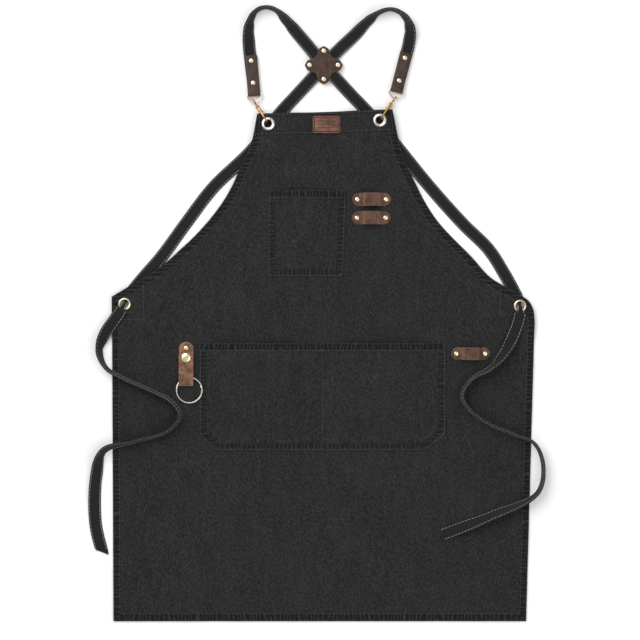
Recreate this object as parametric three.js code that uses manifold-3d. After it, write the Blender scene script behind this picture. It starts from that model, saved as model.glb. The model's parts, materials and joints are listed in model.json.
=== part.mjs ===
// A cross-back work apron laid flat, face up: +Z leaves the cloth, +Y points to the bib.
import * as THREE from 'three';
import { mergeVertices } from 'three/addons/utils/BufferGeometryUtils.js';
import Module from 'manifold-3d';

const wasm = await Module();
wasm.setup();

// ---- driving dimensions, millimetres ----
const SKIRT_FOOT = -408.8;
const SKIRT_ROWS = 10;
const SKIRT_EASE = 1.7;
const ARM_ROWS = 16;
const PANEL_COLUMNS = 18;
const FACE_LEVEL = 2.4;
const CLOTH = 1.1;
const HEM = 2.4;
const SEAM = 1.8;
const BACKING = 1.0;
const BACKING_GAP = 0.4;
const GAP = 0.3;
const BAND_DEPTH = 33;
const LEATHER = 1.9;

const STRAP_WIDTH = 20;
const STRAP_THICKNESS = 2;

const HOOK_LIFT = 9.4;
const WAIST_LIFT = 5.6;
const STRAP_LIFT = 2.6;

const BIB_GROMMET = { flange: 10.6, hole: 5.8 };
const WAIST_GROMMET = { flange: 10, hole: 6.6 };
const GROMMETS = {
  left_bib: new THREE.Vector2(-86.2, 385.8),
  right_bib: new THREE.Vector2(91.8, 391.5),
  left_waist: new THREE.Vector2(-315.7, 98.4),
  right_waist: new THREE.Vector2(315.7, 95.4),
};

// Armhole edges from the side corner up to the bib's top corner.
const LEFT_ARMHOLE = [
  [-336.2, 110], [-308.6, 126.7], [-259.4, 157.3], [-224.2, 187.7], [-191.2, 220.6],
  [-163, 255.8], [-144.3, 286.4], [-130.2, 319.2], [-113.6, 354.4], [-103.7, 401.8],
];
const RIGHT_ARMHOLE = [
  [339.4, 70], [337, 90], [329, 104], [316, 113], [269, 140.8], [238.7, 173.6], [187, 227.7],
  [163.5, 262.9], [142.4, 305.1], [130.7, 330.9], [121.3, 363.8], [112.2, 408.8],
];
const LEFT_FOOT = [-333.8, SKIRT_FOOT];
const RIGHT_FOOT = [326.1, SKIRT_FOOT];

// Strap routes: x, y, the height of what the strap rests on there, and its roll in degrees.
const LEFT_ROUTE = [
  [-109.6, 447, 2.6, 0], [-114.6, 488.8, 2.6, 0], [-117.1, 514, 0.6, 8], [-117.4, 536.8, 0.3, 35],
  [-113.1, 554.4, 0.2, 64], [-104.3, 566.6, 0.2, 80], [-90.7, 571.6, 0.2, 84],
  [-74.5, 567.4, 0.2, 78], [-57.1, 550.6, 0.6, 45], [-40.3, 531.2, 2.6, 14], [-17.9, 504.8, 4.9, 0],
  [2.9, 479.7, 4.9, 0], [23.7, 456.8, 4.9, 0], [46, 433, 1.6, 0], [71.7, 406.4, 0.2, 0],
  [110, 362, 0.2, 0], [171, 287, 0.2, 0], [225.3, 226.4, 0.2, 0],
  [266, 186, 0.2, 0], [290, 149, 0.2, 0], [308, 116, 0.2, 0], [313.6, 104, 0.2, 0],
  [315.3, 98.2, 0.9, 0], [315.7, 95.3, 5, 0], [316, 92.4, 9.2, 0], [315.6, 84, 9.7, 0], [312, 68, 8.6, 0],
  [302, 42, 7.6, 10], [289.3, 19, 4.6, 45], [268.5, -4, 3, 70], [238.1, -22, 2.7, 80],
  [223.4, -47.5, 2.7, 82], [234, -69, 2.7, 82], [263.7, -91.6, 2.7, 80], [303.7, -108.6, 2.7, 80],
  [338, -124, 2.7, 80], [352.4, -160, 1, 80], [343, -203, 2.7, 78], [270, -239.5, 2.7, 50],
  [192.8, -269.9, 2.7, 0],
];
const RIGHT_ROUTE = [
  [123.8, 458.4, 2.6, 0], [133.3, 493.6, 2.6, 0], [138.8, 516, 0.6, -8], [140.5, 536.8, 0.3, -35],
  [134.9, 552.8, 0.2, -64], [122.9, 564.2, 0.2, -80], [108.5, 568.4, 0.2, -84],
  [90.9, 563.2, 0.2, -78], [73.3, 549.6, 0.2, -45], [50.9, 527.2, 1, -12], [26.9, 504.8, 2.5, 0],
  [2.9, 479.7, 2.5, 0], [-19.5, 455.2, 2.5, 0], [-42, 431, 0.8, 0], [-68.3, 402.4, 0.2, 0],
  [-112, 345, 0.2, 0], [-174.7, 284, 0.2, 0], [-216.3, 229.6, 0.2, 0],
  [-257, 174, 0.2, 0], [-289, 137, 0.2, 0], [-306.6, 114.6, 0.2, 0], [-311.8, 106, 0.2, 0],
  [-314.4, 101, 0.9, 0], [-315.8, 98.3, 5, 0], [-317.1, 95.6, 9.2, 0], [-321, 88, 9.7, 0], [-332, 72, 8.6, 0],
  [-347, 50, 5, -26], [-355.5, 24, 2.6, -62], [-344.9, -3, 2.8, -78], [-316, -21, 2.7, -80],
  [-276, -38.6, 2.7, -80], [-240, -58, 2.7, -80], [-227, -79.6, 2.7, -80], [-246, -104, 2.7, -80],
  [-300, -121, 2.7, -76], [-349, -136, 2.4, -60], [-361, -176, 0.3, -20], [-362.8, -250, 0.2, 0],
  [-352.3, -298.4, 0.2, 0],
];

// ---- finishes ----
const finish = (color, roughness, metalness = 0) =>
  new THREE.MeshStandardMaterial({ color, roughness, metalness });
const DENIM = finish(0x2b2b2b, 0.95);
const WEBBING = finish(0x1c1c1c, 0.9);
const DARK_LEATHER = finish(0x4a2c22, 0.6);
const TAN_LEATHER = finish(0x8a5a44, 0.65);
const PALE_BRASS = finish(0xd8c48a, 0.28, 1);
const ANTIQUE_BRASS = finish(0x9a6c34, 0.35, 1);
const NICKEL = finish(0xc8c8c4, 0.22, 1);

const apron = new THREE.Group();

// ---- helpers ----
function toSolid(geometry) {
  const bare = geometry.index ? geometry.clone() : geometry;
  bare.deleteAttribute('normal');
  bare.deleteAttribute('uv');
  const merged = mergeVertices(bare, 1e-4);
  return new wasm.Manifold(new wasm.Mesh({
    numProp: 3,
    vertProperties: new Float32Array(merged.attributes.position.array),
    triVerts: new Uint32Array(merged.index.array),
  }));
}

function toGeometry(solid) {
  const mesh = solid.getMesh();
  const geometry = new THREE.BufferGeometry();
  geometry.setAttribute('position', new THREE.BufferAttribute(mesh.vertProperties, 3));
  geometry.setIndex(new THREE.BufferAttribute(mesh.triVerts, 1));
  return geometry;
}

function addPiece(name, shape, material, parent = apron) {
  const geometry = shape.isBufferGeometry ? shape : toGeometry(shape);
  const mesh = new THREE.Mesh(geometry, material);
  mesh.name = name;
  parent.add(mesh);
  return mesh;
}

const clamp01 = (value) => Math.min(1, Math.max(0, value));

function smooth(value) {
  const t = clamp01(value);
  return t * t * (3 - 2 * t);
}

// One inside the flat radius, falling smoothly to zero at the outer radius.
const bump = (distance, flat, outer) => 1 - smooth((distance - flat) / (outer - flat));

function distanceToSegment(x, y, [ax, ay], [bx, by]) {
  const along = ((x - ax) * (bx - ax) + (y - ay) * (by - ay)) / ((bx - ax) ** 2 + (by - ay) ** 2);
  const t = clamp01(along);
  return Math.hypot(x - ax - t * (bx - ax), y - ay - t * (by - ay));
}

function cylinder(radius, height, sides = 8) {
  const geometry = new THREE.CylinderGeometry(radius, radius, height, sides);
  geometry.rotateX(Math.PI / 2);
  return geometry;
}

// An upright prism of an outline in the XY plane, from one height to another.
function prism(outline, bottom, top) {
  const shape = new THREE.Shape(outline.map(([x, y]) => new THREE.Vector2(x, y)));
  const geometry = new THREE.ExtrudeGeometry(shape, { depth: top - bottom, bevelEnabled: false });
  geometry.translate(0, 0, bottom);
  return toSolid(geometry);
}

function drill(solid, x, y, radius) {
  const bore = cylinder(radius, 60, radius > 4 ? 16 : 8);
  bore.translate(x, y, 0);
  return solid.subtract(toSolid(bore));
}

// A closed sheet on a grid; place(u, v, top) gives x, y and z of its top or underside.
// A mirrored sheet's upper face has the same facets as the underside of a plain one.
function sheet(columns, rows, place, mirrored = false) {
  const geometry = new THREE.BoxGeometry(1, 1, 1, columns, rows, 1);
  const position = geometry.attributes.position;
  for (let i = 0; i < position.count; i += 1) {
    const u = mirrored ? 0.5 - position.getX(i) : position.getX(i) + 0.5;
    const v = position.getY(i) + 0.5;
    position.setXYZ(i, ...place(u, v, position.getZ(i) > 0));
  }
  if (mirrored) {
    geometry.index.array.reverse();
  }
  return toSolid(geometry);
}

function lathe(profile, segments = 20) {
  const points = profile.map(([r, z]) => new THREE.Vector2(r, z));
  const geometry = new THREE.LatheGeometry(points, segments);
  geometry.rotateX(Math.PI / 2);
  return geometry;
}

// A closed wire ring that follows a closed curve, swept from a torus.
function wireRing(curve, radius, steps, sides = 8) {
  const geometry = new THREE.TorusGeometry(1, 0.1, sides, steps);
  const position = geometry.attributes.position;
  const perTurn = steps + 1;
  for (let i = 0; i < position.count; i += 1) {
    const around = ((i % perTurn) % steps) / steps;
    const section = (Math.floor(i / perTurn) / sides) * Math.PI * 2;
    const centre = curve.getPoint(around);
    const tangent = curve.getTangent(around);
    const outward = new THREE.Vector3(tangent.y, -tangent.x, 0).normalize();
    centre.addScaledVector(outward, radius * Math.cos(section));
    centre.z += radius * Math.sin(section);
    position.setXYZ(i, centre.x, centre.y, centre.z);
  }
  return geometry;
}

// ---- the cloth's shape ----
const flatCurve = (points) =>
  new THREE.CatmullRomCurve3(points.map(([x, y]) => new THREE.Vector3(x, y, 0)));
const leftArmhole = flatCurve(LEFT_ARMHOLE);
const rightArmhole = flatCurve(RIGHT_ARMHOLE);
const SKIRT_SHARE = SKIRT_ROWS / (SKIRT_ROWS + ARM_ROWS);

// Rows lie closer together towards the side corners, where the cloth rises.
function edgePoint(foot, armhole, curve, v) {
  if (v > SKIRT_SHARE) {
    return curve.getPointAt((v - SKIRT_SHARE) / (1 - SKIRT_SHARE));
  }
  const t = 1 - (1 - v / SKIRT_SHARE) ** SKIRT_EASE;
  const [x, y] = [foot[0] + t * (armhole[0][0] - foot[0]), foot[1] + t * (armhole[0][1] - foot[1])];
  return new THREE.Vector3(x, y, 0);
}

function panelPoint(u, v) {
  const left = edgePoint(LEFT_FOOT, LEFT_ARMHOLE, leftArmhole, v);
  return left.lerp(edgePoint(RIGHT_FOOT, RIGHT_ARMHOLE, rightArmhole, v), u);
}

const topEdge = (x) => 408.8 - (7 * (112.2 - x)) / 215.9;

// The bib's facing and the two side patches lie behind the panel and stiffen it.
const bandBacked = (x, y) => bump(topEdge(x) - y - BAND_DEPTH, 24, 60);
const cornerBacked = (x, y) => bump(Math.max(281 - Math.abs(x), 73 - y, 0), 36, 44);

// How far the hooks, grommets and straps behind the cloth hold it off the surface.
function lift(x, y) {
  const raised = [bandBacked(x, y)];
  for (const [name, spot] of Object.entries(GROMMETS)) {
    const away = Math.hypot(x - spot.x, y - spot.y);
    raised.push(name.includes('bib') ? HOOK_LIFT * bump(away, 32, 76) : WAIST_LIFT * bump(away, 36, 68));
  }
  for (const [start, end] of [
    [[71.7, 406.4], [150, 315]], [[-68.3, 402.4], [-140, 316]],
    [[266, 186], [315.7, 98.4]], [[-257, 174], [-315.7, 102.4]],
  ]) {
    raised.push(STRAP_LIFT * bump(distanceToSegment(x, y, start, end), 30, 52));
  }
  return Math.max(...raised);
}

function thickness(u, v, x, y) {
  const edge = u < 1e-6 || u > 1 - 1e-6 || v < 1e-6 || v > 1 - 1e-6;
  const plain = edge ? HEM : CLOTH;
  const backed = Math.max(bandBacked(x, y), cornerBacked(x, y));
  return plain + (SEAM - plain) * smooth(2 * backed);
}

const clothSheet = (place, mirrored) =>
  sheet(PANEL_COLUMNS, SKIRT_ROWS + ARM_ROWS, place, mirrored);
const panel = clothSheet((u, v, top) => {
  const { x, y } = panelPoint(u, v);
  const face = FACE_LEVEL + lift(x, y);
  return [x, y, top ? face : face - thickness(u, v, x, y)];
});
const backingCloth = clothSheet((u, v, top) => {
  const { x, y } = panelPoint(u, v);
  const upper = FACE_LEVEL + lift(x, y) - SEAM - BACKING_GAP;
  return [x, y, top ? upper : upper - BACKING];
}, true);

// ---- grommets ----
function eyelet({ flange, hole }, face, underside) {
  const barrel = hole + 0.6;
  return lathe([
    [hole, underside], [barrel, underside], [barrel, face], [flange, face],
    [flange - 1.6, face + 0.9], [hole + 1.2, face + 0.9], [hole, underside],
  ], 16);
}

function washer({ flange, hole }, top) {
  const inner = hole + 0.9;
  return lathe([
    [inner, top - 0.8], [flange - 0.8, top - 0.8], [flange - 0.8, top], [inner, top],
    [inner, top - 0.8],
  ], 14);
}

let drilledPanel = panel;
let drilledBacking = backingCloth;
for (const [name, spot] of Object.entries(GROMMETS)) {
  const size = name.includes('bib') ? BIB_GROMMET : WAIST_GROMMET;
  const face = FACE_LEVEL + (name.includes('bib') ? HOOK_LIFT : WAIST_LIFT);
  const underside = face - SEAM - BACKING_GAP - BACKING - GAP;
  drilledPanel = drill(drilledPanel, spot.x, spot.y, size.hole + 1);
  drilledBacking = drill(drilledBacking, spot.x, spot.y, size.hole + 1);
  const brass = name.includes('bib') ? NICKEL : PALE_BRASS;
  let grommet = eyelet(size, face + GAP, underside - 0.8);
  addPiece(`${name}_grommet`, grommet, brass).position.set(spot.x, spot.y, 0);
  addPiece(`${name}_washer`, washer(size, underside), brass).position.set(spot.x, spot.y, 0);
}

// ---- rivets ----
// The post runs from the small back cap to the domed front cap.
function rivet(bottom, top, post = 1.5) {
  return lathe([
    [0, bottom - 0.8], [3.4, bottom - 0.8], [3.4, bottom], [post, bottom], [post, top],
    [4.3, top], [3.2, top + 1.3], [0, top + 1.6],
  ], 8);
}

const PANEL_BACK = FACE_LEVEL - CLOTH;
function rivetThroughPanel(name, x, y, top, parent = apron) {
  drilledPanel = drill(drilledPanel, x, y, 1.9);
  addPiece(name, rivet(PANEL_BACK - GAP, top), PALE_BRASS, parent).position.set(x, y, 0);
}

// ---- leather loops: a strip riveted at both ends and arched in the middle ----
const ARCH_RISE = 9;
const LEATHER_BASE = FACE_LEVEL + GAP;

function archHeight(x, halfArch) {
  return ARCH_RISE * bump(Math.abs(x), halfArch * 0.45, halfArch);
}

function leatherLoop(length, width, rivetSpan) {
  const halfArch = rivetSpan / 2 - 5.5;
  const place = (u, v, top) => {
    const x = (u - 0.5) * length;
    const radius = width / 2;
    const past = Math.max(0, Math.abs(x) - (length / 2 - radius));
    const halfWidth = Math.max(2.5, Math.sqrt(Math.max(0, radius ** 2 - past ** 2)));
    const base = LEATHER_BASE + archHeight(x, halfArch);
    return [x, (v - 0.5) * 2 * halfWidth, top ? base + LEATHER : base];
  };
  let loop = sheet(16, 2, place);
  for (const side of [-1, 1]) {
    loop = drill(loop, (side * rivetSpan) / 2, 0, 1.9);
  }
  return loop;
}

const LOOPS = [
  { name: 'upper_pen_loop', x: 79, y: 265.5, length: 62, width: 21, span: 46 },
  { name: 'lower_pen_loop', x: 78.4, y: 236.1, length: 62, width: 21, span: 46 },
  { name: 'cutter_loop', x: 237.2, y: 19, length: 62, width: 20, span: 46 },
];
for (const { name, x, y, length, width, span } of LOOPS) {
  addPiece(name, leatherLoop(length, width, span), DARK_LEATHER).position.set(x, y, 0);
  for (const [hand, side] of [['left', -1], ['right', 1]]) {
    rivetThroughPanel(`${name}_rivet_${hand}`, x + (side * span) / 2, y, LEATHER_BASE + LEATHER + GAP);
  }
}

// ---- leather label, stitched to the bib's band ----
const label = sheet(10, 3, (u, v, top) => {
  const x = -14.9 + 43.9 * u;
  const y = 371.5 + 27.2 * v;
  const base = FACE_LEVEL + lift(x, y) + 1.1;
  return [x, y, top ? base + LEATHER : base];
});
addPiece('leather_label', label, DARK_LEATHER);

// ---- pockets: edges sewn down, the cloth bulging and the top left open ----
function pocket({ left, right, foot, top, columns, rows, compartments, bulge, margin }) {
  const run = right(foot + 60) - left(foot + 60);
  return sheet(columns, rows, (u, v, upper) => {
    const y = foot + v * (top - foot);
    const x = left(y) + u * (right(y) - left(y));
    const inCompartment = (u * compartments) % 1;
    const fromSeam = (Math.min(inCompartment, 1 - inCompartment) * run) / compartments;
    const rise = smooth((fromSeam - margin) / 36) * smooth((y - foot - margin) / 42);
    const base = FACE_LEVEL + GAP + bulge * rise;
    return [x, y, upper ? base + CLOTH : base];
  });
}

const chestPocket = pocket({
  left: (y) => -87.4 + 0.0065 * (y - 141), right: (y) => 33.6 + 0.039 * (y - 141),
  foot: 142, top: 280, columns: 10, rows: 6, compartments: 1, bulge: 8, margin: 12.6,
});
const CHAMFER_TOP = -110;
const WAIST_FOOT = -136;
const chamfer = (y, cut) => cut * clamp01((CHAMFER_TOP - y) / (CHAMFER_TOP - WAIST_FOOT));
const waistPocket = pocket({
  left: (y) => -197 + chamfer(y, 27), right: (y) => 197.6 - chamfer(y, 33),
  foot: WAIST_FOOT, top: 36, columns: 20, rows: 6, compartments: 2, bulge: 9, margin: 20,
});
addPiece('chest_pocket', chestPocket, DENIM);
addPiece('waist_pocket', waistPocket, DENIM);

// ---- key tab: a leather strip folded round the split ring and held by a snap ----
const TAB_X = -217.4;
const TAB_WIDTH = 23;
const TAB_TOP = 37.8;
const TAB_FOOT = -32.6;
const TAB_RIVET_Y = 28;
const SNAP_Y = 12.6;
const FLAP_END = 22;
const CREASE_Y = -7.7;
const FLAP_BASE = 8.3;
const FLAP_TOP = FLAP_BASE + LEATHER;

// Profile points are (y, z); the extrusion is turned so that they stay so.
function tabSolid(points) {
  const shape = new THREE.Shape(points.map(([y, z]) => new THREE.Vector2(y, z)));
  const geometry = new THREE.ExtrudeGeometry(shape, { depth: TAB_WIDTH, bevelEnabled: false });
  const turn = new THREE.Matrix4().makeBasis(
    new THREE.Vector3(0, 1, 0), new THREE.Vector3(0, 0, 1), new THREE.Vector3(1, 0, 0),
  );
  geometry.applyMatrix4(turn);
  geometry.translate(TAB_X - TAB_WIDTH / 2, 0, 0);
  return toSolid(geometry);
}

function arc(centreY, centreZ, radius, from, to, steps = 6) {
  const points = [];
  for (let i = 0; i <= steps; i += 1) {
    const angle = THREE.MathUtils.degToRad(from + ((to - from) * i) / steps);
    points.push([centreY + radius * Math.cos(angle), centreZ + radius * Math.sin(angle)]);
  }
  return points;
}

const foldRadius = (FLAP_TOP - LEATHER_BASE) / 2;
const foldZ = (FLAP_TOP + LEATHER_BASE) / 2;
const foldY = TAB_FOOT + foldRadius;
let keyTab = tabSolid([
  [TAB_TOP, LEATHER_BASE], [TAB_TOP, LEATHER_BASE + LEATHER],
  ...arc(foldY, foldZ, foldRadius - LEATHER, 270, 90),
  [CREASE_Y - GAP, FLAP_BASE], [CREASE_Y - GAP, FLAP_TOP],
  ...arc(foldY, foldZ, foldRadius, 90, 270),
]);
let keyFlap = tabSolid([
  [CREASE_Y, FLAP_BASE], [FLAP_END, FLAP_BASE], [FLAP_END, FLAP_TOP], [CREASE_Y, FLAP_TOP],
]);
// Rounded ends, cut by discs that bound the strip's corners.
function roundEnd(solid, y, depth) {
  const half = TAB_WIDTH / 2;
  const outline = [[-half, -80], [half, -80]];
  for (let i = 0; i <= 10; i += 1) {
    const angle = (Math.PI * i) / 10;
    outline.push([half * Math.cos(angle), y - depth + depth * Math.sin(angle)]);
  }
  return solid.intersect(prism(outline.map(([x, py]) => [x + TAB_X, py]), 0, 30));
}
keyTab = drill(drill(roundEnd(keyTab, TAB_TOP, 10), TAB_X, TAB_RIVET_Y, 1.9), TAB_X, SNAP_Y, 1.9);
keyFlap = drill(roundEnd(keyFlap, FLAP_END, 7), TAB_X, SNAP_Y, 1.9);
addPiece('key_tab', keyTab, TAN_LEATHER);
addPiece('key_flap', keyFlap, TAN_LEATHER);
rivetThroughPanel('key_tab_rivet', TAB_X, TAB_RIVET_Y, LEATHER_BASE + LEATHER + GAP);

const STUD_BASE = LEATHER_BASE + LEATHER + GAP;
drilledPanel = drill(drilledPanel, TAB_X, SNAP_Y, 1.9);
const snapStud = lathe([
  [0, PANEL_BACK - GAP - 0.8], [4, PANEL_BACK - GAP - 0.8], [4, PANEL_BACK - GAP],
  [1.5, PANEL_BACK - GAP], [1.5, STUD_BASE], [4.6, STUD_BASE], [4.6, STUD_BASE + 0.5],
  [1.5, STUD_BASE + 0.8], [2, FLAP_BASE - 1.1], [0, FLAP_BASE - 0.7],
], 12);
const snapSocket = lathe([
  [2.6, FLAP_BASE - 1.4], [4.8, FLAP_BASE - 1.4], [5, FLAP_BASE - GAP], [2.6, FLAP_BASE - GAP],
  [2.6, FLAP_BASE - 1.4],
], 12);
const snapCap = lathe([
  [0, FLAP_BASE - 0.2], [1.5, FLAP_BASE - 0.2], [1.5, FLAP_TOP + GAP], [7.5, FLAP_TOP + GAP],
  [7.2, FLAP_TOP + 1.2], [4.6, FLAP_TOP + 1.8], [0, FLAP_TOP + 2],
], 18);
addPiece('snap_stud', snapStud, PALE_BRASS).position.set(TAB_X, SNAP_Y, 0);
addPiece('snap_socket', snapSocket, PALE_BRASS).position.set(TAB_X, SNAP_Y, 0);
addPiece('snap_cap', snapCap, PALE_BRASS).position.set(TAB_X, SNAP_Y, 0);

// ---- split ring: flat wire wound twice ----
const RING = { x: -212.3, y: -39.2, radius: 20.4, turns: 1.96, pitch: 1.1, wide: 1.8, thick: 0.85 };

class Helix extends THREE.Curve {
  getPoint(t, target = new THREE.Vector3()) {
    const angle = t * RING.turns * Math.PI * 2 + 0.6;
    const rise = t * RING.turns * RING.pitch;
    return target.set(RING.radius * Math.cos(angle), RING.radius * Math.sin(angle), rise);
  }

  computeFrenetFrames(steps) {
    const frames = { tangents: [], normals: [], binormals: [] };
    for (let i = 0; i <= steps; i += 1) {
      const tangent = this.getTangent(i / steps);
      const point = this.getPoint(i / steps);
      const normal = new THREE.Vector3(point.x, point.y, 0).normalize();
      frames.tangents.push(tangent);
      frames.normals.push(normal);
      frames.binormals.push(new THREE.Vector3().crossVectors(tangent, normal));
    }
    return frames;
  }
}

function rectangleShape(width, height, cut = 0) {
  const [w, h] = [width / 2, height / 2];
  if (cut === 0) {
    return new THREE.Shape([[w, h], [-w, h], [-w, -h], [w, -h]].map((p) => new THREE.Vector2(...p)));
  }
  const corners = [
    [w, h - cut], [w - cut, h], [cut - w, h], [-w, h - cut],
    [-w, cut - h], [cut - w, -h], [w - cut, -h], [w, cut - h],
  ];
  return new THREE.Shape(corners.map((p) => new THREE.Vector2(...p)));
}

const splitRing = new THREE.ExtrudeGeometry(
  rectangleShape(RING.wide, RING.thick),
  { steps: 44, extrudePath: new Helix(), bevelEnabled: false },
);
const ringLevel = LEATHER_BASE + LEATHER + GAP + RING.thick / 2;
addPiece('split_ring', splitRing, NICKEL).position.set(RING.x, RING.y, ringLevel);

// ---- shoulder straps ----
const NECK_FLAT = 11;
const NECK = 28;
const NARROW = 0.74;
const THICKEN = 0.5;

// The strap's width turns about its run, and it gathers to pass the waist grommet.
class StrapRoute extends THREE.CatmullRomCurve3 {
  constructor(route, grommet) {
    super(route.map(([x, y]) => new THREE.Vector3(x, y, 0)));
    this.route = route;
    this.grommet = grommet;
  }

  getSpacedPoints(steps) {
    return this.getPoints(steps);
  }

  // A column of the route, eased from row to row: 2 is the support, 3 the roll.
  eased(t, column) {
    const along = t * (this.route.length - 1);
    const index = Math.min(this.route.length - 2, Math.floor(along));
    const [from, to] = [this.route[index][column], this.route[index + 1][column]];
    return from + (to - from) * smooth(along - index);
  }

  rollAt(t) {
    return THREE.MathUtils.degToRad(this.eased(t, 3));
  }

  getPoint(t, target = new THREE.Vector3()) {
    super.getPoint(t, target);
    const roll = this.rollAt(t);
    const halfThick = (STRAP_THICKNESS / 2) * (1 + THICKEN * this.gatherAt(target));
    const halfHeight = (STRAP_WIDTH / 2) * Math.abs(Math.sin(roll)) + halfThick * Math.cos(roll);
    target.z = this.eased(t, 2) + halfHeight;
    return target;
  }

  gatherAt(point) {
    const away = Math.hypot(point.x - this.grommet.x, point.y - this.grommet.y);
    return bump(away, NECK_FLAT, NECK);
  }

  computeFrenetFrames(steps) {
    const frames = { tangents: [], normals: [], binormals: [] };
    for (let i = 0; i <= steps; i += 1) {
      const t = i / steps;
      const point = this.getPoint(t);
      const tangent = this.getTangent(t);
      const side = new THREE.Vector3(tangent.y, -tangent.x, 0).normalize();
      const gather = this.gatherAt(point);
      const normal = side.applyAxisAngle(tangent, this.rollAt(t));
      const binormal = new THREE.Vector3().crossVectors(tangent, normal);
      frames.tangents.push(tangent);
      frames.normals.push(normal.multiplyScalar(1 - NARROW * gather));
      frames.binormals.push(binormal.multiplyScalar(1 + THICKEN * gather));
    }
    return frames;
  }
}

function strap(route, grommet) {
  const path = new StrapRoute(route, grommet);
  const geometry = new THREE.ExtrudeGeometry(rectangleShape(STRAP_WIDTH, STRAP_THICKNESS, 0.5), {
    steps: route.length - 1, extrudePath: path, bevelEnabled: false,
  });
  return toSolid(geometry);
}

let leftStrap = strap(LEFT_ROUTE, GROMMETS.right_waist);
let rightStrap = strap(RIGHT_ROUTE, GROMMETS.left_waist);

// ---- strap ends: leather tab, D-ring, swivel eye and snap hook ----
const END_WIDTH = 20;
const END_LENGTH = 66;
const RING_WIRE = 1.3;
const RING_LEVEL = 6;
const HOOK = {
  wire: 1.4, half: 5.8, noseAt: 31.7, topAt: 9.6, eyeRadius: 5.1, eyeWire: 1.2,
  pinAt: 13.2, gateEnd: 26.2, tipAt: 26.8, eyeLevel: 6.8, tilt: 4.4,
};

function strapTab(length) {
  const inner = RING_WIRE + 0.4;
  const outer = inner + LEATHER;
  const bar = length - outer;
  const lower = 0.2;
  const upper = 5;
  const points = [
    [0, lower], [bar - 12, lower], [bar - 4, RING_LEVEL - outer + 0.3],
    ...arc(bar, RING_LEVEL, outer, -90, 90),
    [bar - 4, RING_LEVEL + outer - 0.4], [bar - 12, upper + LEATHER], [0, upper + LEATHER],
    [0, upper], [bar - 12, upper], [bar - 4, RING_LEVEL + inner - 0.4],
    ...arc(bar, RING_LEVEL, inner, 90, -90),
    [bar - 4, RING_LEVEL - inner + 0.3], [bar - 12, lower + LEATHER], [0, lower + LEATHER],
  ];
  const shape = new THREE.Shape(points.map(([along, z]) => new THREE.Vector2(along, z)));
  const geometry = new THREE.ExtrudeGeometry(shape, { depth: END_WIDTH, bevelEnabled: false });
  geometry.translate(0, 0, -END_WIDTH / 2);
  geometry.rotateX(Math.PI / 2);
  return { solid: toSolid(geometry), bar };
}

function dRing() {
  const half = END_WIDTH / 2 + 0.5 + RING_WIRE;
  const depth = 12.6;
  const points = [
    [0, half - 1.6], [0.8, half], [4, half - 0.1], [8, half - 2.8], [11.3, half - 7], [depth, 0],
    [11.3, 7 - half], [8, 2.8 - half], [4, 0.1 - half], [0.8, -half], [0, 1.6 - half], [-0.1, 0],
  ];
  const curve = new THREE.CatmullRomCurve3(points.map(([x, y]) => new THREE.Vector3(x, y, 0)), true);
  return wireRing(curve, RING_WIRE, 24, 6);
}

// Turns a shape drawn in the hook's own plane (along, height) upright.
function uprightTube(points, radius, steps) {
  const path = new THREE.CatmullRomCurve3(points.map(([along, z]) => new THREE.Vector3(along, 0, z)));
  const section = new THREE.Shape();
  for (let i = 0; i < 6; i += 1) {
    const angle = (i / 6) * Math.PI * 2;
    const spot = [radius * Math.cos(angle), radius * Math.sin(angle)];
    section[i === 0 ? 'moveTo' : 'lineTo'](...spot);
  }
  return toSolid(new THREE.ExtrudeGeometry(section, { steps, extrudePath: path, bevelEnabled: false }));
}

function alongAxis(radius, from, to, sides = 10) {
  const geometry = new THREE.CylinderGeometry(radius, radius, to - from, sides);
  geometry.rotateZ(Math.PI / 2);
  geometry.translate((from + to) / 2, 0, 0);
  return toSolid(geometry);
}

function crosswise(radius, length, along, height, sides = 10) {
  const geometry = new THREE.CylinderGeometry(radius, radius, length, sides);
  geometry.translate(along, 0, height);
  return toSolid(geometry);
}

function block(x0, x1, y0, y1, z0, z1) {
  const geometry = new THREE.BoxGeometry(x1 - x0, y1 - y0, z1 - z0);
  geometry.translate((x0 + x1) / 2, (y0 + y1) / 2, (z0 + z1) / 2);
  return toSolid(geometry);
}

function hookBody() {
  const { half, noseAt, topAt, wire, pinAt, tipAt } = HOOK;
  const route = [
    [pinAt + 0.6, -half], [topAt + 0.6, -half + 1.4], [topAt, -2], [topAt, 2],
    [topAt + 0.6, half - 1.4], [topAt + 4, half], [20, half + 0.1], [noseAt, half],
    [noseAt + 3.4, half - 1], [noseAt + 5.5, 2.2], [noseAt + 5.5, -2.2],
    [noseAt + 3.4, 1 - half], [noseAt, -half], [tipAt, -half],
  ];
  const boss = alongAxis(3, topAt - 2, topAt + 1.6).add(uprightTube(route, wire, 24));
  const ears = block(pinAt - 2.2, pinAt + 1.8, -2.6, 2.6, -half - 1.4, -half + 1.5);
  const slot = block(pinAt - 1.9, pinAt + 6, -1.5, 1.5, -half - 3, -half + 1.9);
  return boss.add(ears).subtract(slot).subtract(alongAxis(1.6, 0, 16))
    .subtract(crosswise(1, 8, pinAt, -half));
}

function hookGate() {
  const { half, pinAt, gateEnd } = HOOK;
  const bar = alongAxis(1.15, pinAt, gateEnd, 10).translate([0, 0, -half]);
  const knuckle = crosswise(1.5, 2.4, pinAt, -half);
  const thumb = crosswise(1.3, 7, pinAt + 4.4, -half, 10);
  return knuckle.add(bar).add(thumb).subtract(crosswise(1, 8, pinAt, -half));
}

function swivelEye() {
  const eye = toSolid(new THREE.TorusGeometry(HOOK.eyeRadius, HOOK.eyeWire, 6, 16).rotateX(Math.PI / 2));
  const stem = alongAxis(1.3, HOOK.eyeRadius, HOOK.topAt + 2);
  return eye.add(stem).add(alongAxis(2.2, HOOK.topAt + 1.9, HOOK.topAt + 3));
}

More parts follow.
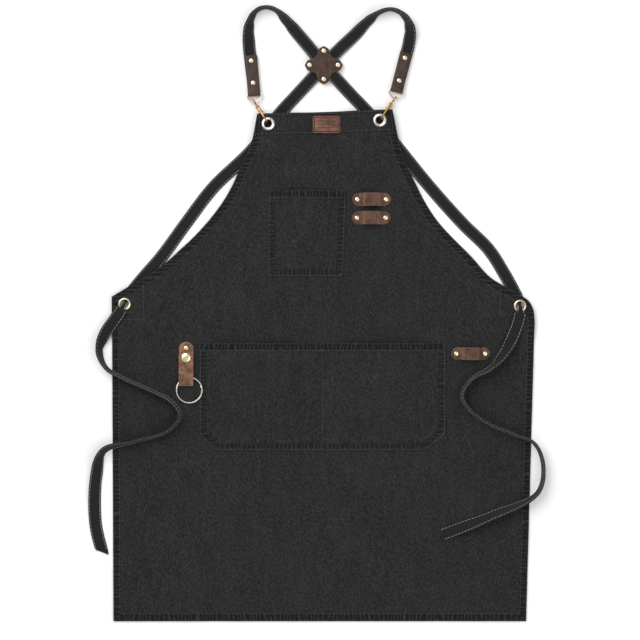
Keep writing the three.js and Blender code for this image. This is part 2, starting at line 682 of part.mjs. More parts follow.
const STRAP_ENDS = [
  { hand: 'left', top: [-113.9, 495.2], foot: [-108.3, 429.4], rivets: [8.5, 44], grommet: 'left_bib' },
  { hand: 'right', top: [134.3, 499.5], foot: [118, 435.6], rivets: [8.5, 46], grommet: 'right_bib' },
];
const EYE_DISTANCE = 41;

for (const { hand, top, foot, rivets, grommet } of STRAP_ENDS) {
  const turn = Math.atan2(foot[1] - top[1], foot[0] - top[0]);
  const at = (along) => [top[0] + along * Math.cos(turn), top[1] + along * Math.sin(turn)];
  const end = new THREE.Group();
  end.position.set(top[0], top[1], 0);
  end.rotation.z = turn;
  apron.add(end);
  const { solid, bar } = strapTab(END_LENGTH);
  let tab = solid;
  for (const [index, along] of rivets.entries()) {
    tab = drill(tab, along, 0, 1.9);
    const [x, y] = at(along);
    if (hand === 'left') {
      leftStrap = drill(leftStrap, x, y, 1.9);
    } else {
      rightStrap = drill(rightStrap, x, y, 1.9);
    }
    addPiece(`${hand}_tab_rivet_${index + 1}`, rivet(0.9, 7.2), PALE_BRASS, end).position.x = along;
  }
  const recesses = rivets.map((along) => toSolid(cylinder(3.7, 2).translate(along, 0, 0.2)));
  addPiece(`${hand}_strap_tab`, recesses.reduce((leather, recess) => leather.subtract(recess), tab),
    DARK_LEATHER, end);
  addPiece(`${hand}_d_ring`, dRing(), NICKEL, end).position.set(bar, 0, RING_LEVEL);

  // The hook lies on the line from its eye to the bib grommet, nose slightly raised.
  const hole = GROMMETS[grommet];
  const crown = at(bar + 13.6);
  const aim = Math.atan2(hole.y - crown[1], hole.x - crown[0]);
  const hook = new THREE.Group();
  const eye = [hole.x - EYE_DISTANCE * Math.cos(aim), hole.y - EYE_DISTANCE * Math.sin(aim)];
  hook.position.set(eye[0], eye[1], HOOK.eyeLevel);
  hook.rotation.set(0, -THREE.MathUtils.degToRad(HOOK.tilt), aim, 'ZYX');
  apron.add(hook);
  addPiece(`${hand}_swivel_eye`, swivelEye(), ANTIQUE_BRASS, hook);
  addPiece(`${hand}_hook_body`, hookBody(), ANTIQUE_BRASS, hook);
  addPiece(`${hand}_hook_gate`, hookGate(), ANTIQUE_BRASS, hook);
  addPiece(`${hand}_gate_pin`, crosswise(0.7, 5, HOOK.pinAt, -HOOK.half), NICKEL, hook);
}

addPiece('left_strap', leftStrap, WEBBING);
addPiece('right_strap', rightStrap, WEBBING);

// ---- cross patch: two lobed leather plates riveted round the strap crossing ----
const CROSSING = new THREE.Vector2(2.6, 479.7);
const LOBE_REACH = 22.6;
const outline = [];
for (let i = 0; i < 24; i += 1) {
  const angle = (i / 24) * Math.PI * 2;
  const radius = 24.4 + 6 * Math.cos(4 * angle);
  outline.push([CROSSING.x + radius * Math.cos(angle), CROSSING.y + radius * Math.sin(angle)]);
}
const PATCH_LEATHER = 1.8;
const PATCH_BACK = 0.3;
const PATCH_FRONT = 7.3;
let patchFront = prism(outline, PATCH_FRONT, PATCH_FRONT + PATCH_LEATHER);
let patchBack = prism(outline, PATCH_BACK, PATCH_BACK + PATCH_LEATHER);
const LOBES = { upper: 90, left: 180, lower: 270, right: 0 };
for (const [name, degrees] of Object.entries(LOBES)) {
  const angle = THREE.MathUtils.degToRad(degrees);
  const x = CROSSING.x + LOBE_REACH * Math.cos(angle);
  const y = CROSSING.y + LOBE_REACH * Math.sin(angle);
  patchFront = drill(patchFront, x, y, 1.9);
  patchBack = patchBack.subtract(toSolid(cylinder(3.7, 1.6).translate(x, y, 0.4)));
  patchBack = drill(patchBack, x, y, 1.9);
  const stud = rivet(1.1, PATCH_FRONT + PATCH_LEATHER + GAP);
  addPiece(`patch_rivet_${name}`, stud, PALE_BRASS).position.set(x, y, 0.1);
}
addPiece('cross_patch_front', patchFront, DARK_LEATHER);
addPiece('cross_patch_back', patchBack, DARK_LEATHER);

// ---- cloth, drilled for every grommet, rivet and snap ----
addPiece('apron_panel', drilledPanel, DENIM);
const bandZone = prism([[-130, 368.8 - 0.03], [140, 377.5], [140, 420], [-130, 420]], 0, 20);
addPiece('bib_facing', drilledBacking.intersect(bandZone), DENIM);
for (const [hand, side] of [['left', -1], ['right', 1]]) {
  const zone = [[side * 284, 74], [side * 345, 74], [side * 345, 150], [side * 284, 150]];
  const ordered = side > 0 ? zone : zone.reverse();
  addPiece(`${hand}_corner_patch`, drilledBacking.intersect(prism(ordered, 0, 20)), DENIM);
}

export default apron;
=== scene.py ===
import json
import math

import bmesh
import bpy
import numpy as np
from mathutils import Matrix, Vector


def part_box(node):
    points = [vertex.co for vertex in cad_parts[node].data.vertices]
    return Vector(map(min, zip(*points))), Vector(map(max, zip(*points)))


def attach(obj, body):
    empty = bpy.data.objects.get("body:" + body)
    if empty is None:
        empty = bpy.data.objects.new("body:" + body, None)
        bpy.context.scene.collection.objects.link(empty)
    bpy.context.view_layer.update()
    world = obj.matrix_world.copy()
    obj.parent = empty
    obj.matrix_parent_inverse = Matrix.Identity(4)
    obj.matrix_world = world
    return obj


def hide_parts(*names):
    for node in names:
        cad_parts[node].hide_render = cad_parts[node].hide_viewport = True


bl_info = {
    "name": "Cross-Back Work Apron",
    "version": (1, 0, 0),
    "blender": (4, 5, 0),
    "location": "3D View > Sidebar > Apron",
    "description": "Builds a denim work apron with leather and brass fittings, laid flat",
    "category": "Add Mesh",
}

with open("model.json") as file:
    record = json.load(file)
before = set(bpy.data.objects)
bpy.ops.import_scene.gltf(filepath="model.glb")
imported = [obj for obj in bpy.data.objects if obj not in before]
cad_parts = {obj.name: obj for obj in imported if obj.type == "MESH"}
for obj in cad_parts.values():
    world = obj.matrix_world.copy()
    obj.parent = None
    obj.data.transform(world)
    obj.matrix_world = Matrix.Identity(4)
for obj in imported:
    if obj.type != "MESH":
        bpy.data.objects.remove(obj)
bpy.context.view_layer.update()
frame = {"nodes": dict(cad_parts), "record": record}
HANDS = ("left", "right")
BODY = "apron"

# ---- the cloth's outline and the strap routes, in metres ----
LEFT_ARMHOLE = [
    (-.3362, .110), (-.3086, .1267), (-.2594, .1573), (-.2242, .1877), (-.1912, .2206),
    (-.163, .2558), (-.1443, .2864), (-.1302, .3192), (-.1136, .3544), (-.1037, .4018),
]
RIGHT_ARMHOLE = [
    (.3394, .070), (.337, .090), (.329, .104), (.316, .113), (.269, .1408), (.2387, .1736),
    (.187, .2277), (.1635, .2629), (.1424, .3051), (.1307, .3309), (.1213, .3638), (.1122, .4088),
]
LEFT_FOOT = (-.3338, -.4088)
RIGHT_FOOT = (.3261, -.4088)

# Each point: x, y, the height of what the strap rests on, and its roll in degrees.
LEFT_ROUTE = [
    (-.1096, .447, .0026, 0), (-.1146, .4888, .0026, 0), (-.1171, .514, .0006, 8),
    (-.1174, .5368, .0003, 35), (-.1131, .5544, .0002, 64), (-.1043, .5666, .0002, 80),
    (-.0907, .5716, .0002, 84), (-.0745, .5674, .0002, 78), (-.0571, .5506, .0006, 45),
    (-.0403, .5312, .0026, 14), (-.0179, .5048, .0049, 0), (.0029, .4797, .0049, 0),
    (.0237, .4568, .0049, 0), (.046, .433, .0016, 0), (.0717, .4064, .0002, 0),
    (.110, .362, .0002, 0), (.171, .287, .0002, 0), (.2253, .2264, .0002, 0),
    (.266, .186, .0002, 0), (.290, .149, .0002, 0), (.308, .116, .0002, 0),
    (.3136, .104, .0002, 0), (.3153, .0982, .0009, 0), (.3157, .0953, .005, 0),
    (.316, .0924, .0092, 0), (.3156, .084, .0097, 0), (.312, .068, .0086, 0),
    (.302, .042, .0076, 10), (.2893, .019, .0046, 45), (.2685, -.004, .003, 70),
    (.2381, -.022, .0027, 80), (.2234, -.0475, .0027, 82), (.234, -.069, .0027, 82),
    (.2637, -.0916, .0027, 80), (.3037, -.1086, .0027, 80), (.338, -.124, .0027, 80),
    (.3524, -.160, .001, 80), (.343, -.203, .0027, 78), (.270, -.2395, .0027, 50),
    (.1928, -.2699, .0027, 0),
]
RIGHT_ROUTE = [
    (.1238, .4584, .0026, 0), (.1333, .4936, .0026, 0), (.1388, .516, .0006, -8),
    (.1405, .5368, .0003, -35), (.1349, .5528, .0002, -64), (.1229, .5642, .0002, -80),
    (.1085, .5684, .0002, -84), (.0909, .5632, .0002, -78), (.0733, .5496, .0002, -45),
    (.0509, .5272, .001, -12), (.0269, .5048, .0025, 0), (.0029, .4797, .0025, 0),
    (-.0195, .4552, .0025, 0), (-.042, .431, .0008, 0), (-.0683, .4024, .0002, 0),
    (-.112, .345, .0002, 0), (-.1747, .284, .0002, 0), (-.2163, .2296, .0002, 0),
    (-.257, .174, .0002, 0), (-.289, .137, .0002, 0), (-.3066, .1146, .0002, 0),
    (-.3118, .106, .0002, 0), (-.3144, .101, .0009, 0), (-.3158, .0983, .005, 0),
    (-.3171, .0956, .0092, 0), (-.321, .088, .0097, 0), (-.332, .072, .0086, 0),
    (-.347, .050, .005, -26), (-.3555, .024, .0026, -62), (-.3449, -.003, .0028, -78),
    (-.316, -.021, .0027, -80), (-.276, -.0386, .0027, -80), (-.240, -.058, .0027, -80),
    (-.227, -.0796, .0027, -80), (-.246, -.104, .0027, -80), (-.300, -.121, .0027, -76),
    (-.349, -.136, .0024, -60), (-.361, -.176, .0003, -20), (-.3628, -.250, .0002, 0),
    (-.3523, -.2984, .0002, 0),
]

SKIRT_FOOT = LEFT_FOOT[1]
FOOT_HEM = .0122
ARMHOLE_HEM = .0122
POCKET_HEM = .0115
POCKET_SEAM = .0024
EYELET_CUT = .0078
GATHER_FLAT, GATHER_END = .0045, .0135


# ---- settings that a user would change ----
def length(name, description, default):
    return bpy.props.FloatProperty(
        name=name, description=description, default=default, unit="LENGTH", precision=5
    )


def colour(name, description, default):
    return bpy.props.FloatVectorProperty(
        name=name, description=description, default=default, size=3, min=0, max=1, subtype="COLOR"
    )


class ClothSettings(bpy.types.PropertyGroup):
    face: length("Face level", "Height of the cloth's face over the table", .0024)
    cloth: length("Cloth thickness", "Thickness of one layer of denim", .0011)
    hem: length("Hem width", "Width of the turned side hems", .0105)
    band: length("Bib band", "Depth of the faced band at the bib's top", .033)
    hook_lift: length("Hook lift", "How far the clipped hooks raise the bib's corners", .0094)
    waist_lift: length("Waist lift", "How far the waist grommets raise the cloth", .0056)
    strap_lift: length("Strap lift", "How far a strap behind the cloth raises it", .0026)
    stitch: length("Stitch", "Length of one stitch with its gap", .0034)
    denim: colour("Denim", "Washed black denim", (.0165, .0165, .0168))
    faded: colour("Faded denim", "Denim where washing has worn it pale", (.060, .060, .061))
    thread: colour("Thread", "Seam thread", (.135, .135, .135))


class StrapSettings(bpy.types.PropertyGroup):
    width: length("Width", "Width of the webbing", .020)
    thickness: length("Thickness", "Thickness of the webbing", .002)
    gather: bpy.props.FloatProperty(
        name="Gather", description="Share of its width that a strap loses in a grommet",
        default=.6, min=0, max=.74, subtype="FACTOR",
    )
    slant: length("Tip slant", "How far the cut tips slant each way", .0062)
    step: length("Step", "Distance between the strap's cross-sections", .0028)
    webbing: colour("Webbing", "Black cotton webbing", (.0062, .0062, .0064))
    thread: colour("Edge thread", "Pale stitching along both edges", (.46, .46, .44))


class LeatherSettings(bpy.types.PropertyGroup):
    rounding: length("Rounding", "Width of the burnished edges", .0009)
    tab: colour("Strap tabs", "Dark oiled leather", (.036, .015, .010))
    patch: colour("Cross patch", "Reddish oiled leather", (.050, .0175, .0085))
    loop: colour("Loops", "Brown oiled leather", (.085, .036, .021))
    key: colour("Key tab", "Tan oiled leather", (.205, .092, .047))
    label: colour("Label", "Copper-brown leather", (.165, .062, .036))
    raw: colour("Raw edge", "Pale cut edge", (.60, .37, .25))


class MetalSettings(bpy.types.PropertyGroup):
    pale: colour("Pale brass", "Rivets and snap", (.92, .80, .52))
    antique: colour("Antique brass", "Snap hooks", (.52, .29, .095))
    nickel: colour("Nickel", "Bib grommets, D-rings and split ring", (.80, .77, .69))
    wire: length("Wire", "How much fuller the hooks are than plain wire", .00018)
    rounding: length("Rounding", "Width of the rounded edges", .00025)


class StageSettings(bpy.types.PropertyGroup):
    height: length("Camera height", "Height of the camera over the table", 3.2)
    view: length("View width", "Width of table that the camera sees", 1.024)
    table: colour("Table", "Plain pale table top", (.96, .96, .96))


GROUPS = {
    "cloth": ClothSettings, "strap": StrapSettings, "leather": LeatherSettings,
    "metal": MetalSettings, "stage": StageSettings,
}


def settings(group):
    return getattr(bpy.context.scene, "apron_" + group)


# ---- shaders ----
class Value:
    """A socket that takes part in Python arithmetic by adding Math nodes."""

    def __init__(self, shader, socket):
        self.shader = shader
        self.socket = socket

    def math(self, operation, *others):
        return self.shader.node("ShaderNodeMath", {"operation": operation}, [self, *others])

    def __add__(self, other):
        return self.math("ADD", other)

    def __sub__(self, other):
        return self.math("SUBTRACT", other)

    def __mul__(self, other):
        return self.math("MULTIPLY", other)

    def __truediv__(self, other):
        return self.math("DIVIDE", other)

    def __rsub__(self, other):
        return self.shader.node("ShaderNodeMath", {"operation": "SUBTRACT"}, [other, self])

    def __rtruediv__(self, other):
        return self.shader.node("ShaderNodeMath", {"operation": "DIVIDE"}, [other, self])

    __radd__ = __add__
    __rmul__ = __mul__

    def clamp(self):
        return self.shader.node("ShaderNodeClamp", {}, [self])

    def ramp(self, low, high):
        """Zero at low and one at high, smooth between."""
        options = {"interpolation_type": "SMOOTHSTEP"}
        return self.shader.node("ShaderNodeMapRange", options, {0: self, 1: low, 2: high})


class Shader:
    """A material's node tree around one Principled shader."""

    def __init__(self, name, **constants):
        self.material = bpy.data.materials.new(name)
        self.material.use_nodes = True
        self.tree = self.material.node_tree
        self.surface = self.tree.nodes["Principled BSDF"]
        for socket, value in constants.items():
            self.surface.inputs[socket.replace("_", " ")].default_value = value

    def node(self, kind, options, inputs, output=0):
        made = self.tree.nodes.new(kind)
        for key, value in options.items():
            setattr(made, key, value)
        pairs = inputs.items() if isinstance(inputs, dict) else enumerate(inputs)
        for key, value in pairs:
            if isinstance(value, Value):
                self.tree.links.new(value.socket, made.inputs[key])
            else:
                made.inputs[key].default_value = value
        return Value(self, made.outputs[output])

    def place(self):
        return self.node("ShaderNodeTexCoord", {}, {}, "Object")

    def uv(self):
        return self.node("ShaderNodeUVMap", {"uv_map": "run"}, {})

    def attribute(self, name):
        return self.node("ShaderNodeAttribute", {"attribute_name": name}, {}, "Fac")

    def scaled(self, vector, scale, turn=0.0):
        inputs = {"Vector": vector, "Rotation": (0, 0, turn), "Scale": scale}
        return self.node("ShaderNodeMapping", {}, inputs)

    def noise(self, vector, scale, detail=3.0, rough=0.55):
        inputs = {"Vector": vector, "Scale": scale, "Detail": detail, "Roughness": rough}
        return self.node("ShaderNodeTexNoise", {}, inputs)

    def wave(self, vector, scale, distortion=0.0, direction="X"):
        options = {"wave_type": "BANDS", "bands_direction": direction}
        inputs = {"Vector": vector, "Scale": scale, "Distortion": distortion, "Detail": 1.0}
        return self.node("ShaderNodeTexWave", options, inputs, "Fac")

    def mix(self, share, low, high):
        low, high = [v if isinstance(v, Value) else (*v, 1) for v in (low, high)]
        inputs = {0: share, 6: low, 7: high}
        return self.node("ShaderNodeMix", {"data_type": "RGBA"}, inputs, 2)

    def finish(self, color, roughness=None, height=None, depth=0.0001, strength=1.0, metallic=None):
        self.tree.links.new(color.socket, self.surface.inputs["Base Color"])
        for socket, value in (("Roughness", roughness), ("Metallic", metallic)):
            if value is not None:
                self.tree.links.new(value.socket, self.surface.inputs[socket])
        if height is not None:
            inputs = {"Strength": strength, "Distance": depth, "Height": height}
            bump = self.node("ShaderNodeBump", {}, inputs)
            self.tree.links.new(bump.socket, self.surface.inputs["Normal"])
        return self.material


def denim_material(name, base, faded):
    """Twill with slubs and washed-out flecks; seams are dark with pale puckered rungs."""
    shader = Shader(name, Sheen_Weight=.08, Sheen_Roughness=.5, Specular_IOR_Level=.2)
    place = shader.place()
    twill = shader.wave(shader.scaled(place, (1, 1, 1), .9), 560, 1.2)
    weft = shader.wave(shader.scaled(place, (1, 1, 1), -.65), 900, .6)
    mottle = shader.noise(shader.scaled(place, (1, .6, 1), .7), 400, 4, .85).ramp(.41, .63)
    grain = shader.noise(shader.scaled(place, (1, .3, 1), -.5), 620, 2, .7).ramp(.46, .7)
    flecks = shader.noise(place, 1100, 2, .7).ramp(.55, .75)
    clouds = shader.noise(place, 16, 4, .6).ramp(.3, .75)
    streaks = shader.noise(shader.scaled(place, (1, .22, 1)), 95, 3, .6).ramp(.35, .75)
    share = mottle * .41 + grain * .16 + flecks * .10 + clouds * .06 + streaks * .08 + twill * .05
    cloth_color = shader.mix(share.clamp(), tuple(.28 * c for c in base), faded)
    worn = shader.noise(place, 260, 3, .7).ramp(.36, .66)
    tall = shader.wave(shader.scaled(place, (.35, 1, 1)), 48, 9, "Y").ramp(.45, 1)
    wide = shader.wave(shader.scaled(place, (1, .35, 1)), 48, 9, "X").ramp(.45, 1)
    upright = shader.attribute("upright")
    rungs = (tall * upright + wide * (1 - upright)) * (.25 + worn)
    wear = shader.attribute("wear")
    seam_share = (rungs * .42 + mottle * .14).clamp()
    seam_color = shader.mix(seam_share, tuple(.22 * c for c in base), faded)
    color = shader.mix((wear * 1.05).clamp(), cloth_color, seam_color)
    rim = (shader.attribute("rim") * (.3 + worn * .7)).clamp()
    color = shader.mix((rim * .38).clamp(), color, faded)
    height = twill * .5 + weft * .25 + mottle * .8 + rungs * wear * 2.2
    return shader.finish(color, 0.93 - flecks * .06, height, .00030, .8)


def webbing_material(name, base):
    """Herringbone cotton tape; u runs along the tape and v across, in metres."""
    shader = Shader(name, Sheen_Weight=.1, Sheen_Roughness=.5, Specular_IOR_Level=.3)
    run = shader.uv()
    rib = shader.wave(shader.scaled(run, (1, 1, 1), .7), 420, .4)
    cross = shader.wave(shader.scaled(run, (1, 1, 1), -.7), 420, .4)
    fuzz = shader.noise(run, 700, 3, .6)
    wear = shader.attribute("wear")
    share = (rib * .22 + fuzz.ramp(.5, .8) * .3 + wear * .25).clamp()
    pale = tuple(3.4 * c + .006 for c in base)
    return shader.finish(shader.mix(share, base, pale), 0.9 - fuzz * .1, rib + cross, .0003, .7)


def stamped(shader, place, box):
    """A pressed border and three plain bars inside a box on the table's plane."""
    low, high = box
    half = (high - low) / 2
    away = []
    for axis, mid, size in zip("XY", (low + high) / 2, half):
        at = shader.node("ShaderNodeSeparateXYZ", {}, {0: place}, axis)
        away.append((at - mid).math("ABSOLUTE") / size)
    across, up = away
    outside = (across * half.x - half.x).math("MAXIMUM", up * half.y - half.y)
    border = 1 - (outside + .0022).math("ABSOLUTE").ramp(.0005, .0011)
    bars = 1 - (up * half.y).math("PINGPONG", .0026).ramp(.0005, .0012)
    inside = (1 - across.ramp(.58, .66)) * (1 - up.ramp(.46, .58))
    return (border + bars * inside * shader.noise(place, 420, 2).ramp(.3, .6)).clamp()


def leather_material(name, base, raw, gloss=.48, stamp=None):
    """Oiled leather: clouded colour, pores and scuffs, with pale raw edges."""
    shader = Shader(name, Specular_IOR_Level=.35)
    place = shader.place()
    clouds = shader.noise(place, 75, 5, .66).ramp(.34, .66)
    scuffs = shader.noise(shader.scaled(place, (1, .3, 1), .6), 210, 4, .72).ramp(.5, .74)
    fine = shader.noise(place, 520, 3, .7).ramp(.4, .7)
    cells = {"feature": "DISTANCE_TO_EDGE"}
    pores = shader.node("ShaderNodeTexVoronoi", cells, {"Vector": place, "Scale": 900})
    creases = pores.ramp(0, .28)
    dark = tuple(.34 * c for c in base)
    pale = tuple(min(1, 2.3 * c + .02) for c in base)
    color = shader.mix(clouds, dark, tuple(1.35 * c for c in base))
    color = shader.mix((scuffs * .42 + fine * .14).clamp(), color, pale)
    normal = shader.node("ShaderNodeTexCoord", {}, {}, "Normal")
    upward = shader.node("ShaderNodeSeparateXYZ", {}, {0: normal}, "Z").math("ABSOLUTE")
    edge = (1 - upward.ramp(.35, .9)) * (.5 + fine * .5)
    color = shader.mix(edge.clamp(), color, raw)
    height = creases * .7 + clouds * .8 - scuffs * .3
    if stamp:
        pressed = stamped(shader, place, stamp)
        color = shader.mix((pressed * .9).clamp(), color, tuple(.16 * c for c in base))
        height = height - pressed * 2.5
    return shader.finish(color, gloss + scuffs * .2 + edge * .25, height, .00018, .6)


def metal_material(name, base, roughness, tarnish):
    """Plated metal with fine scratches and darker tarnish in patches."""
    shader = Shader(name, Metallic=1.0)
    place = shader.place()
    patches = shader.noise(place, 260, 4, .6).ramp(.45, .75)
    scratches = shader.noise(shader.scaled(place, (1, .06, 1), .5), 2600, 2, .5).ramp(.5, .72)
    dark = tuple(c * tarnish for c in base)
    color = shader.mix((patches * .6).clamp(), base, dark)
    rough = roughness + patches * .10 + scratches * .10
    return shader.finish(color, rough, scratches, .00003, .35)


def thread_material(name, base):
    """Twisted cotton thread."""
    shader = Shader(name, Roughness=.85, Sheen_Weight=.2)
    twist = shader.wave(shader.scaled(shader.place(), (1, 1, 1), .8), 1500, .5)
    dark = tuple(.55 * c for c in base)
    return shader.finish(shader.mix(twist, dark, base), None, twist, .0001, .6)


def make_materials():
    cloth, strap = settings("cloth"), settings("strap")
    leather, metal = settings("leather"), settings("metal")
    made = {
        "denim": denim_material("washed_denim", tuple(cloth.denim), tuple(cloth.faded)),
        "webbing": webbing_material("cotton_webbing", tuple(strap.webbing)),
        "seam_thread": thread_material("seam_thread", tuple(cloth.thread)),
        "edge_thread": thread_material("edge_thread", tuple(strap.thread)),
        "pale_brass": metal_material("pale_brass", tuple(metal.pale), .2, .62),
        "antique_brass": metal_material("antique_brass", tuple(metal.antique), .26, .5),
        "nickel": metal_material("polished_nickel", tuple(metal.nickel), .16, .7),
    }
    for key, tint, gloss in (
        ("dark_leather", leather.tab, .42), ("patch_leather", leather.patch, .42),
        ("loop_leather", leather.loop, .46), ("tan_leather", leather.key, .44),
        ("label_leather", leather.label, .5),
    ):
        stamp = [corner.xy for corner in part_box("leather_label")] if "label" in key else None
        made[key] = leather_material(key, tuple(tint), tuple(leather.raw), gloss, stamp)
    return made


MATERIALS = {}


# ---- shape of the cloth ----
def smooth(a):
    a = np.clip(a, 0, 1)
    return a * a * (3 - 2 * a)


def bump(distance, flat, outer):
    """One up to flat, falling smoothly to nothing at outer."""
    return 1 - smooth((distance - flat) / (outer - flat))


def curve_points(points, count):
    """A centripetal Catmull-Rom curve through the points, sampled evenly by parameter."""
    pts = np.array(points, float)
    ends = [2 * pts[0] - pts[1], 2 * pts[-1] - pts[-2]]
    pts = np.vstack([ends[0], pts, ends[1]])
    result = []
    spans = len(pts) - 3
    for t in np.linspace(0, spans, count):
        i = min(int(t), spans - 1)
        p0, p1, p2, p3 = pts[i:i + 4]
        f = t - i
        pairs = ((p0, p1), (p1, p2), (p2, p3))
        d0, d1, d2 = [max(np.linalg.norm(b - a) ** .5, 1e-6) for a, b in pairs]
        t1 = (p1 - p0) / d0 - (p2 - p0) / (d0 + d1) + (p2 - p1) / d1
        t2 = (p2 - p1) / d1 - (p3 - p1) / (d1 + d2) + (p3 - p2) / d2
        t1, t2 = t1 * d1, t2 * d1
        c2 = -3 * p1 + 3 * p2 - 2 * t1 - t2
        c3 = 2 * p1 - 2 * p2 + t1 + t2
        result.append(p1 + t1 * f + c2 * f * f + c3 * f ** 3)
    return np.array(result)


def even(points, count):
    """The same line with its points evenly spaced."""
    steps = np.r_[0, np.cumsum(np.linalg.norm(np.diff(points, axis=0), axis=1))]
    at = np.linspace(0, steps[-1], count)
    return np.stack([np.interp(at, steps, points[:, k]) for k in range(points.shape[1])], 1)


def middle(name):
    """The middle of a node's box."""
    low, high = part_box(name)
    return (Vector(low) + Vector(high)) / 2


BIB_GROMMETS = [middle(f"{hand}_bib_grommet").xy for hand in HANDS]
WAIST_GROMMETS = [middle(f"{hand}_waist_grommet").xy for hand in HANDS]
STRAP_LINES = [
    ((.0717, .4064), (.150, .315)), ((-.0683, .4024), (-.140, .316)),
    ((.266, .186), (.3157, .0984)), ((-.257, .174), (-.3157, .1024)),
]


def top_edge(x):
    """Height along Y of the bib's slightly sloping top edge."""
    return .4088 - .007 * (.1122 - x) / .2159


def reach(x, y, spot):
    """Distance on the table from a spot."""
    return np.hypot(x - spot[0], y - spot[1])


def line_reach(x, y, line):
    """Distance on the table from a line between two points."""
    (ax, ay), (bx, by) = line
    along = ((x - ax) * (bx - ax) + (y - ay) * (by - ay)) / ((bx - ax) ** 2 + (by - ay) ** 2)
    along = np.clip(along, 0, 1)
    return np.hypot(x - ax - along * (bx - ax), y - ay - along * (by - ay))


def lift(x, y):
    """How far grommets, hooks and the straps behind raise the cloth."""
    cloth = settings("cloth")
    rise = np.zeros_like(x)
    for spot in BIB_GROMMETS:
        rise = np.maximum(rise, cloth.hook_lift * bump(reach(x, y, spot), .032, .076))
    for spot in WAIST_GROMMETS:
        rise = np.maximum(rise, cloth.waist_lift * bump(reach(x, y, spot), .036, .068))
    for line in STRAP_LINES:
        rise = np.maximum(rise, cloth.strap_lift * bump(line_reach(x, y, line), .030, .052))
    return rise


def sides():
    """The cloth's two side edges from the foot up, in step with each other."""
    stops = np.r_[0, .0012, .003, .006, .009, .0115, .013, .0145, .017] / .5188
    share = np.r_[stops, np.linspace(.04, 1, 116)][:, None]
    edges = []
    for foot, armhole in ((LEFT_FOOT, LEFT_ARMHOLE), (RIGHT_FOOT, RIGHT_ARMHOLE)):
        straight = np.array(foot) + (np.array(armhole[0]) - np.array(foot)) * share
        curved = even(curve_points(armhole, 500), 121)[1:]
        edges.append(np.vstack([straight, curved]))
    return edges


def hash_wave(x, y, seed, scale):
    """Smooth value noise between minus one and one, the same on every run."""
    random = np.random.default_rng(seed)
    table = random.uniform(-1, 1, (64, 64))
    u, v = x / scale + 1000, y / scale + 1000
    i, j = np.floor(u).astype(int), np.floor(v).astype(int)
    f, g = smooth(u - i), smooth(v - j)
    a, b = table[i % 64, j % 64], table[(i + 1) % 64, j % 64]
    c, d = table[i % 64, (j + 1) % 64], table[(i + 1) % 64, (j + 1) % 64]
    return (a * (1 - f) + b * f) * (1 - g) + (c * (1 - f) + d * f) * g


# ---- making pieces ----
def deselect():
    if bpy.context.object and bpy.context.object.mode != "OBJECT":
        bpy.ops.object.mode_set(mode="OBJECT")
    bpy.ops.object.select_all(action="DESELECT")


def apply(piece, kind, **options):
    modifier = piece.modifiers.new(kind.title(), kind)
    for key, value in options.items():
        setattr(modifier, key, value)
    deselect()
    bpy.context.view_layer.objects.active = piece
    piece.select_set(True)
    bpy.ops.object.modifier_apply(modifier=modifier.name)


def attribute(piece, name, values):
    layer = piece.data.attributes.new(name, "FLOAT", "POINT")
    layer.data.foreach_set("value", np.asarray(values, np.float32).ravel())


def finish_piece(piece, name, material, body=BODY, smooth_angle=None):
    piece.name = name
    piece.data.name = name
    piece.data.materials.clear()
    piece.data.materials.append(MATERIALS[material])
    deselect()
    bpy.context.view_layer.objects.active = piece
    piece.select_set(True)
    if smooth_angle is None:
        bpy.ops.object.shade_smooth()
    else:
        bpy.ops.object.shade_smooth_by_angle(angle=math.radians(smooth_angle))
    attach(piece, body)
    return piece


def grid(points):
    """A grid whose rows and columns are laid on the points, face up."""
    rows, columns = points.shape[:2]
    deselect()
    bpy.ops.mesh.primitive_grid_add(x_subdivisions=columns - 1, y_subdivisions=rows - 1, size=1)
    piece = bpy.context.object
    flat = np.array([v.co for v in piece.data.vertices])
    if len(flat) != rows * columns:
        raise RuntimeError("the grid has another number of points than the cloth")
    order = np.lexsort((np.round(flat[:, 0], 5), np.round(flat[:, 1], 5)))
    placed = np.empty_like(flat)
    placed[order] = points.reshape(-1, 3)
    piece.data.vertices.foreach_set("co", placed.ravel())
    piece.data.update()
    return piece, order


def lattice(left, right, insets, inner):
    """Points ruled between two lines, with columns at the insets from both of them."""
    span = right - left
    width = np.linalg.norm(span, axis=1)
    across = span / width[:, None]
    shares = []
    for line in (left, right):
        along = np.gradient(line, axis=0)
        along /= np.linalg.norm(along, axis=1)[:, None]
        slant = np.abs(along[:, 0] * across[:, 1] - along[:, 1] * across[:, 0])
        slant = np.convolve(np.pad(slant, 2, mode="edge"), np.ones(5) / 5, "valid")
        shares.append(np.array(insets)[None, :] / (width * np.clip(slant, .3, 1))[:, None])
    between = np.linspace(0, 1, inner + 2)[None, 1:-1]
    low, high = shares[0][:, -1:], 1 - shares[1][:, -1:]
    u = np.hstack([shares[0], low + (high - low) * between, 1 - shares[1][:, ::-1]])
    points = left[:, None, :] + span[:, None, :] * u[:, :, None]
    far = np.full((1, inner), insets[-1] + .01)
    row = np.hstack([np.array(insets)[None], far, np.array(insets)[None, ::-1]])
    return points[..., 0], points[..., 1], np.repeat(row, len(left), 0)


def hem_relief(distance, width):
    """The step of a turned hem, the dent along its stitches and its rounded edge."""
    step = .00040 * (1 - smooth((distance - width + .0004) / .0014))
    dent = .00035 * np.exp(-((distance - width) / .0011) ** 2)
    edge = .0007 * (1 - smooth(distance / .0014))
    return step - dent - edge


def hem_wear(distance, width):
    """One inside the turned hem, fading just beyond its stitches."""
    return 1 - smooth((distance - width) / .0022)


def rim(distance):
    """One at a cloth's very edge, where it is rubbed pale."""
    return 1 - smooth(distance / .0026)


